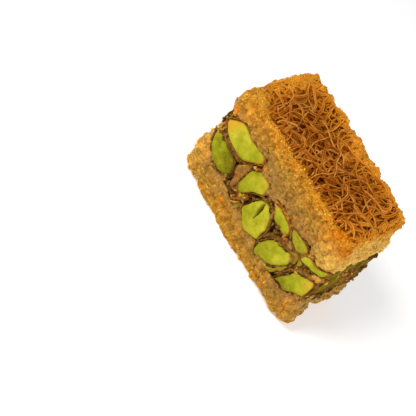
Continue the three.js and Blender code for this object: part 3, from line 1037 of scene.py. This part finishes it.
def kernelPiece(face, number, row, look, seed):
    points, reach, middle = kernelForm(row, look)
    behind = points[:, 1].copy()
    outward = unitRows(points - np.array([middle[0], look["edgeDepth"] * row[3], middle[1]]))
    relief = 0
    for k, (depth, size) in enumerate(kernelLook["relief"]):
        relief = relief + depth * lumps(points, size, seed + k)
    rim = np.maximum(look["dull"], smooth(0.25, 0.9, behind))
    toward = points[:, [0, 2]] @ bearing(look["warmWay"]) / (row[2] / 2)
    warm = look["warm"] * np.maximum(0.6 * smooth(0.8, 1.0, reach), smooth(0.25, 1.0, toward))
    if look["cleft"]:
        cut = cleftCut(points, row, look)
        points[:, 1] += look["cleftDeep"] * cut
        rim = np.maximum(rim, cut)
    points = points + outward * np.array([0.3, 1, 0.3]) * relief[:, None]
    around = look["around"]
    count = len(points)
    order = np.r_[0, np.arange(around, count - around), count - 1]
    place = np.zeros(count, int)
    place[order] = np.arange(len(order))
    place[-around:] = len(order) - 1
    quads = place[gridFaces(around, count // around)]
    groups = [quads[around:-around], quads[:around][:, [0, 1, 2]], quads[-around:][:, [0, 1, 3]]]
    values = {
        "rim": rim[order], "warm": warm[order],
        "tone": (look["tone"] - 0.25 * toward.clip(-1, 1))[order],
        "shade": np.full(len(order), look["shade"]),
    }
    newPiece(f"{face}Kernel{number}", kernelPlace(points, face, row)[order], groups,
             skin if look["skinned"] else kernel, [f"kernel_{face}_{number}"], values)


skinLook = {
    "around": 100, "rings": 6, "under": 0.03, "ragged": 0.45, "crumpled": 0.3,
    "deep": 0.7,  # the share of the kernel's depth to which its skin reaches
}


def skinShell(face, row, look, seed):
    around, rings = skinLook["around"], skinLook["rings"]
    outline = kernelOutline(row, look, around)
    middle = outline.mean(0)
    away = unitRows(outline - middle)
    shift = np.array(look["loose"])
    ragged = skinLook["ragged"] * np.abs(flatLumps(outline, 7.0, 1.2, seed, 3))
    crumple = skinLook["crumpled"] * np.abs(flatLumps(outline, 1.0, 1.2, seed + 1, 3))
    thick = look["thick"] * (0.3 + 0.7 * smooth(-0.5, 0.8, away @ bearing(look["skinWay"])))
    layers = []
    t = np.linspace(0, 1, rings)[:, None]
    for swell in (skinLook["under"] + thick, skinLook["under"] + 0 * thick):
        size = np.sqrt(1 - 0.9 * t ** 3)[..., None]
        path = middle + size * (outline + away * (swell + crumple)[:, None] + shift - middle)
        deep = kernelLook["proud"] + ragged * (1 - t) + t * row[3] * skinLook["deep"]
        points = np.stack([path[..., 0], deep, path[..., 1]], -1).reshape(-1, 3)
        layers.append(kernelPlace(points, face, row))
    outer = gridFaces(around, rings)
    inner = outer[:, ::-1] + around * rings
    j = np.arange(around)
    k = (j + 1) % around
    edge = np.stack([j, k, k + around * rings, j + around * rings], -1)
    shade = look["skinShade"] + 0.25 * lumps(np.concatenate(layers), 2.0, seed)
    return np.concatenate(layers), np.concatenate([outer, inner, edge]), shade


def merged(parts):
    points, faces, values = zip(*parts)
    starts = np.cumsum([0] + [len(rows) for rows in points])
    faces = [rows + start for rows, start in zip(faces, starts)]
    return np.concatenate(points), np.concatenate(faces), np.concatenate(values)


seed = 0
skinParts = []
for face, rows in kernels.items():
    for number, (row, look) in enumerate(rows, 1):
        kernelPiece(face, number, row, look, seed)
        if face != "right":
            skinParts.append(skinShell(face, row, look, seed))
        seed += len(kernelLook["relief"])

loosePieces = {  # loose edges in the front, as corners (along, height), then width and shade
    "skins": [
        ([(-20.8, 15.1), (-17.6, 14.5), (-14.6, 14.5), (-12.4, 14.8), (-10.2, 16.5)], 0.5, 0.35),
        ([(-4.2, 11.6), (-4.8, 10.1), (-5.8, 8.7), (-7.2, 7.2)], 0.55, 0.78),
        ([(-5.2, 8.6), (-5.9, 7.5), (-6.6, 6.6)], 0.3, 1),
        ([(14.7, 7.4), (15.7, 9.2), (16.4, 10.8), (17, 12.6)], 0.5, 0.45),
        ([(15.4, 7.8), (16.4, 9.5), (17.2, 10.6)], 0.4, 0.3),
        ([(17.4, 13), (19.2, 14.2), (21.2, 15.4), (22.8, 16.1)], 0.7, 0.5),
        ([(17, 12.2), (18, 13), (18.8, 13.6)], 0.3, 0.75),
        ([(1.9, 18.1), (3.6, 18.6), (5.8, 18.7)], 0.4, 0.78),
        ([(21.6, 16.2), (22.8, 16.8), (23.9, 17.1)], 1.3, 1),
        ([(-11.7, 13.7), (-10.9, 15), (-9.9, 16.5)], 0.4, 1),
        ([(-8.5, 17.8), (-7.8, 17.9), (-6.8, 18.5)], 0.4, 0.9),
        ([(6, 10), (7, 12), (8.6, 13.2), (10.8, 13.8), (12.8, 14)], 0.8, 0.4),
        ([(9.6, 15.2), (10, 15.8)], 0.5, 1),
        ([(2.4, 17.3), (3.3, 17.8)], 0.3, 1),
        ([(1.8, 16.6), (3.2, 15.6), (4.4, 14.5)], 0.6, 0.35),
    ],
    "greens": [
        ([(11.8, 5.6), (13.7, 7.2), (15.1, 9.4), (15.8, 11.4)], 0.8, 0.5),
        ([(14.6, 15.2), (15.8, 14.8), (16.4, 13.6)], 1, 0.55),
        ([(16.8, 15.2), (17.8, 14.6)], 1.1, 0.45),
        ([(-6, 9.4), (-5, 11.2)], 0.6, 0.5),
        ([(-4.8, 7.2), (-4.2, 8.2)], 0.8, 0.6),
    ],
    "steps": 48, "deep": 2.2,  # how far they reach in
    "bend": 0.2, "uneven": 0.35,  # how uneven they are, sideways and in depth
}


def ribbon(corners, width, tint, seed):
    corners, steps = np.array(corners), loosePieces["steps"]
    t = np.linspace(0, len(corners) - 1, steps)
    path = np.stack([np.interp(t, np.arange(len(corners)), corners[:, k]) for k in (0, 1)], 1)
    for _ in range(4):
        path[1:-1] = (path[:-2] + path[1:-1] * 2 + path[2:]) / 4
    ahead = np.gradient(path, axis=0)
    side = unitRows(np.stack([-ahead[:, 1], ahead[:, 0]], 1))
    share = np.linspace(0, 1, steps)
    bend = loosePieces["bend"] * flatLumps(path, 3.0, 1.5, seed, 3)
    uneven = 1 + 0.5 * flatLumps(path, 0.0, 0.9, seed)
    half = width / 2 * (1 - np.abs(2 * share - 1) ** 4 * 0.7) * uneven
    path = path + side * bend[:, None]
    top = -0.1 + loosePieces["uneven"] * flatLumps(path, 9.0, 1.0, seed, 3)
    layers = []
    for turn in (-1, 1):
        wall = path + side * half[:, None] * turn
        for deep in (top, top + 0.4, top + loosePieces["deep"]):
            layers.append(np.stack([wall[:, 0], deep, wall[:, 1]], 1))
    points = kernelPlace(np.concatenate(layers[2::-1] + layers[3:]), "front", (0, 0))
    i = np.arange(steps - 1)[None, :]
    j = np.arange(5)[:, None] * steps
    faces = np.stack([j + i, j + i + 1, j + i + steps + 1, j + i + steps], -1).reshape(-1, 4)
    first = np.array([[0, 1, 4, 5], [1, 2, 3, 4]]) * steps
    ends = np.concatenate([first, first + steps - 1])
    return points, np.concatenate([faces, ends]), np.full(len(points), tint)


for corners, width, tint in loosePieces["skins"]:
    skinParts.append(ribbon(corners, width, tint, seed))
    seed += 1
points, faces, shade = merged(skinParts)
newPiece("kernelSkins", points, [faces], skin, (), {"shade": shade})
for number, (corners, width, tint) in enumerate(loosePieces["greens"], 1):
    points, faces, shade = ribbon(corners, width, tint, seed + number)
    newPiece(f"greenEdge{number}", points, [faces], kernel, (),
             {"tone": shade + 0.2, "warm": 0 * shade + 0.3, "rim": 0 * shade + 0.4})
print("kernels made")


# the dark crumb between the kernels

fillingLook = {
    "steps": (210, 42, 60), "leftInset": 0.2, "rightInset": -0.6, "sideInset": 0.5,
    "broad": 0.3, "broadSize": 5.0,
    "lump": 0.6, "lumpSize": 1.7,
    "grain": 0.5, "grainSize": 1.0,
    "fine": 0.3, "fineSize": 0.5, "rimSmooth": 0.0, "knob": 0.0, "knobSize": 2.4,
    "cornerBulge": 0.7,  # how far its right back corner comes out
    "margin": 0.3,  # how far it stays within the filling's lower and upper faces
    "gapDepth": 2.4, "behindKernels": 1.5,  # how far it goes in at a gap and behind a kernel
}
crumbMarks = {  # marks in the front as lines of (along, height), with their radius
    # gaps are pushed in and painted dark as shade
    "gaps": [
        ([(-13.6, 13.9), (-12.4, 13.5), (-11.8, 12.4), (-11.1, 11), (-11, 10), (-11.5, 9)], 0.6),
        ([(-9.5, 17.5), (-8.4, 17.3), (-7.4, 17.9)], 0.35),
        ([(-1.8, 15.7), (-1, 16.2), (-0.3, 16.5)], 0.45),
        ([(-4.3, 12.5), (-3.2, 13.1), (-2, 14.4)], 0.4),
        ([(-3.3, 11.1), (-3.9, 9.9), (-4.6, 8.9)], 0.5),
        ([(4.7, 14.3), (5.8, 13.7), (7.4, 13.9)], 0.55),
        ([(6.6, 13.6), (6.1, 12.7), (5.7, 11.7)], 0.6),
        ([(5.4, 11), (5.3, 9.2), (5.2, 7.6)], 0.25),
        ([(10.1, 16.8), (10.1, 15.8)], 0.25),
        ([(10.8, 15.6), (11.4, 15.1)], 0.35),
        ([(15.3, 15.9), (15.8, 16.1)], 0.3),
        ([(17.1, 12), (17.4, 11.1)], 0.35),
        ([(19, 15.6), (19.8, 16), (21.2, 16.6), (23, 17.5)], 0.3),
        ([(13.4, 5.7), (14.4, 6.1), (15.4, 7)], 0.5),
        ([(20.4, 8.3), (21.4, 8.5)], 0.3),
        ([(24.1, 16.8), (24, 15)], 0.3),
    ],
    "rust": [
        ([(-7.2, 7.2), (-4.8, 10.1), (-4.2, 11.6)], 0.6),
        ([(-10, 7.8), (-10.6, 7.2)], 0.5),
        ([(1.9, 18.1), (5.8, 18.7)], 0.5),
        ([(17, 12.2), (18.8, 13.6)], 0.4),
        ([(-22.6, 16.2), (-21.6, 16.6)], 0.6),
        ([(-24.6, 18.0), (-23.6, 20.0), (-20.6, 21.0)], 1.4),
    ],
    "pale": [
        ([(-24.0, 12.6), (-24.1, 14.6), (-23.2, 17.6)], 1.2),
        ([(-22.6, 14.9), (-20.0, 14.6)], 0.4),
        ([(-5.2, 7), (-4, 8.2)], 0.9),
        ([(-0.6, 17.6), (1.4, 17.4)], 0.8),
        ([(13.8, 14.8), (16, 14.8)], 0.9),
        ([(24.4, 13), (25.4, 14)], 1),
        ([(-3.5, 11.8), (-2.8, 12.4)], 0.4),
        ([(8.8, 14.5), (13, 15)], 0.5),
    ],
}


def markShare(points, name):
    flat = points[:, [0, 2]] - cutFaces["front"][0][[0, 2]]
    share = np.zeros(len(points))
    for corners, radius in crumbMarks[name]:
        for start, end in zip(np.array(corners[:-1]), np.array(corners[1:])):
            way = end - start
            t = ((flat - start) @ way / (way @ way)).clip(0, 1)
            away = np.linalg.norm(flat - start - t[:, None] * way, axis=1)
            share = np.maximum(share, np.exp(-(away / radius) ** 2))
    return share * (points[:, 1] < -8)


def kernelCover(points):
    cover = np.full(len(points), -9.0)
    for face, rows in kernels.items():
        start, way = cutFaces[face]
        off = points - start
        near = off @ np.cross(up, way) < 3.0
        for row, look in rows:
            outline = kernelOutline(row, look, 90)
            centre = outline.mean(0)
            reach = np.linalg.norm(outline - centre, axis=1)
            flat = np.stack([off @ way - row[0], points[:, 2] - row[1]], 1) - centre
            turns = np.arctan2(*(outline - centre).T[::-1])
            order = np.argsort(turns)
            turn = np.arctan2(flat[:, 1], flat[:, 0])
            edge = np.interp(turn, turns[order], reach[order], period=2 * np.pi)
            inside = np.where(near, edge - np.linalg.norm(flat, axis=1), -9.0)
            cover = np.maximum(cover, inside)
    return cover


def crumbInset(h, px, py):
    inBulge = smooth(0.1, 0.6, h)
    right = fillingLook["rightInset"] * smooth(0.2, 1.0, py) * inBulge
    corner = fillingLook["cornerBulge"] * smooth(0.85, 0.98, px) * (py > 0) * inBulge
    return np.where(px > 0, right, fillingLook["leftInset"]), fillingLook["sideInset"] - corner


unit, quads = boxSkin(fillingLook["steps"])
margin = fillingLook["margin"]
points = layerPoints(
    unit,
    lambda x, y, edge: baseTop(x, y) + margin,
    lambda x, y, edge: fillingTop(x, y) - margin,
    crumbInset,
)
fillPoints, fillNormals, paintedShade = roughened(points, quads, fillingLook)
depthIn = ((points - fillPoints) * fillNormals).sum(1)
along = alongBlock(*points.T[:2])
# the gaps are pushed in and also painted dark as shade
gapsAndEndShade = markShare(points, "gaps")
fillPoints[:, 1] += fillingLook["gapDepth"] * gapsAndEndShade
pale = np.maximum(markShare(points, "pale"), 0.8 * smooth(-22.6, -23.8, along))
behind = smooth(0.3, 0.8, kernelCover(points))
fillPoints -= fillingLook["behindKernels"] * fillNormals * behind[:, None]
rust = 0.9 * markShare(points, "rust")
# painted shade: the right-hand end, which lies in shade, is darkened, and gaps, recesses and crevices are
# painted dark
gapsAndEndShade = np.maximum(gapsAndEndShade, 0.2 * smooth(22.6, 24.0, along))
shadow = (paintedShade * 0.4 + 0.5 * smooth(0.2, 0.9, depthIn)) * (1 - 0.7 * np.maximum(pale, rust)) + gapsAndEndShade
newPiece("fillingCrumb", fillPoints, [quads], crumb, ["filling_paste"],
         {"paintedShade": np.clip(shadow, 0, 1), "pale": pale * (1 - gapsAndEndShade), "rust": rust * (1 - gapsAndEndShade)})

# their pale share is partly the pastry's own pale grains, partly painted glints
bitsLook = {  # "out" is how far they stand off their surface
    "skinBits": {
        "count": 620, "size": (0.35, 1.0), "flat": 0.35,
        "shade": (0.0, 0.85), "out": (-0.3, 0.35), "pale": 0},
    "pastryBits": {
        "count": 340, "size": (0.25, 0.75), "flat": 0.5,
        "shade": (0.1, 0.7), "out": (-0.25, 0.3), "pale": 0.3},
    "topCrumbs": {
        "count": 1800, "size": (0.12, 0.4), "flat": 0.7,
        "shade": (0.2, 0.9), "out": (-0.12, 0.08), "pale": 0.5},
    "baseCrumbs": {
        "count": 1100, "size": (0.12, 0.4), "flat": 0.7,
        "shade": (0.2, 0.9), "out": (-0.12, 0.1), "pale": 0.4},
}


def roundBit():
    form = bmesh.new()
    bmesh.ops.create_icosphere(form, subdivisions=1, radius=1)
    points = np.array([v.co for v in form.verts])
    faces = np.array([[v.index for v in f.verts] for f in form.faces])
    form.free()
    return points, faces


def betweenKernels(middle, facing):
    x, y = middle.T[:2]
    rightEnd = smooth(22.5, 23.0, alongBlock(x, y)) * smooth(-10.5, -9.5, y)
    bare = (kernelCover(middle) < -0.1) * (markShare(middle, "gaps") < 0.3)
    return (np.abs(facing[:, 2]) < 0.8) * bare * (1 - 0.85 * rightEnd)


def pastryEdges(middle, facing):
    x, y, z = middle.T
    frontRim = (y < -8.5) * smooth(25.5, 28.5, z) * smooth(0.4, 1.0, insideMat(x, y))
    ends = (np.abs(alongBlock(x, y)) > 21.5) * 0.35
    foot = (y < -11) * (z < 4) * 0.35
    return (facing[:, 2] > -0.7) * np.max([frontRim, ends, foot, 0.12 * (z > 27)], 0)


def bits(name, settings, material, surface, wanted, rng):
    ball, faces = roundBit()
    count = settings["count"]
    place, facing = scatterPlaces(*surface, wanted, count, rng)
    spin = rng.normal(size=(count, 3))
    along = unitRows(spin - facing * (spin * facing).sum(1, keepdims=True))
    axes = np.stack([along, np.cross(facing, along), facing], 1)
    size = rng.uniform(*settings["size"], (count, 1))
    long, wide = rng.uniform(1.0, 1.5, (count, 1)), rng.uniform(0.45, 0.9, (count, 1))
    scale = size * np.c_[long, wide, np.full(count, settings["flat"])]
    uneven = 1 + 0.28 * rng.normal(size=(count, len(ball), 1)).clip(-1.5, 1.5)
    out = rng.uniform(*settings["out"], (count, 1))
    points = (place + facing * out)[:, None] + (ball[None] * uneven * scale[:, None]) @ axes
    points = points.reshape(-1, 3)
    points[:, 2] = np.maximum(points[:, 2], lowest)
    faces = (np.arange(count)[:, None, None] * len(ball) + faces[None]).reshape(-1, 3)
    tint, pale = (np.repeat(rng.uniform(*way, count), len(ball)) for way in (settings["shade"], (0, 1)))
    values = pastryValues(points, 0, tint)
    # pale bits: partly the pastry's own pale grains, partly painted glints
    values["pale"] = np.maximum(values["pale"], settings["pale"] * pale)
    newPiece(name, points, [faces], material, (), values)


fillSurface = fillPoints, quads, fillNormals
for name, material, slot, surface, wanted in (
    ("skinBits", skin, "dark_paste", fillSurface, betweenKernels),
    ("pastryBits", pastry, "soaked_pastry", fillSurface, betweenKernels),
    ("topCrumbs", pastry, "toasted_pastry", topSurface, pastryEdges),
    ("baseCrumbs", pastry, "soaked_pastry", baseSurface, pastryEdges),
):
    bits(name, bitsLook[name], material, surface, wanted, rng)
print("filling and crumbs made")


# floor, light and camera

studio = {
    "aim": (-9.24, -8.92, -3.32), "azimuth": 27.25, "elevation": 35.32,
    "distance": 368.1, "roll": -43.97, "lens": 129.8,
    "world": 0.36,
    "floor": {"Base Color": (0.9, 0.9, 0.9, 1), "Roughness": 0.9,
              "Emission Color": (1, 1, 1, 1), "Emission Strength": 0.3},
    "key": {"azimuth": -22, "elevation": 48, "distance": 420, "size": 220, "power": 1.2},
    "fill": {"azimuth": 75, "elevation": 40, "distance": 500, "size": 300, "power": 0.9},
}


def around(azimuth, elevation):
    a, e = math.radians(azimuth), math.radians(elevation)
    return Vector((math.sin(a) * math.cos(e), -math.cos(a) * math.cos(e), math.sin(e)))


back = around(studio["azimuth"], studio["elevation"])
camera = bpy.data.objects.new("camera", bpy.data.cameras.new("camera"))
camera.data.lens = studio["lens"]
camera.data.sensor_width = 36
camera.data.clip_start = 0.01
camera.location = (Vector(studio["aim"]) + back * studio["distance"]) * mm
camera.rotation_mode = "QUATERNION"
roll = Quaternion((0, 0, 1), math.radians(-studio["roll"]))
camera.rotation_quaternion = (-back).to_track_quat("-Z", "Y") @ roll
bpy.context.scene.collection.objects.link(camera)
bpy.context.scene.camera = camera

for name in ("key", "fill"):
    look = studio[name]
    data = bpy.data.lights.new(name, "AREA")
    data.shape = "DISK"
    data.size = look["size"] * mm
    data.energy = look["power"]
    lamp = bpy.data.objects.new(name, data)
    way = around(look["azimuth"], look["elevation"])
    lamp.location = way * look["distance"] * mm
    lamp.rotation_euler = way.to_track_quat("Z", "Y").to_euler()
    bpy.context.scene.collection.objects.link(lamp)

world = bpy.data.worlds.new("studio")
bpy.context.scene.world = world
world.use_nodes = True
background = world.node_tree.nodes["Background"]
background.inputs["Color"].default_value = (1, 1, 1, 1)
background.inputs["Strength"].default_value = studio["world"]

floorMesh = bpy.data.meshes.new("floor")
floorMesh.from_pydata([(-3, -3, 0), (3, -3, 0), (3, 3, 0), (-3, 3, 0)], [], [(0, 1, 2, 3)])
floor = bpy.data.objects.new("floor", floorMesh)
bpy.context.scene.collection.objects.link(floor)
floorFinish = bpy.data.materials.new("floor")
floorFinish.use_nodes = True
for socket, value in studio["floor"].items():
    floorFinish.node_tree.nodes["Principled BSDF"].inputs[socket].default_value = value
floorMesh.materials.append(floorFinish)
bpy.context.scene.view_settings.view_transform = "Standard"
print("studio made")
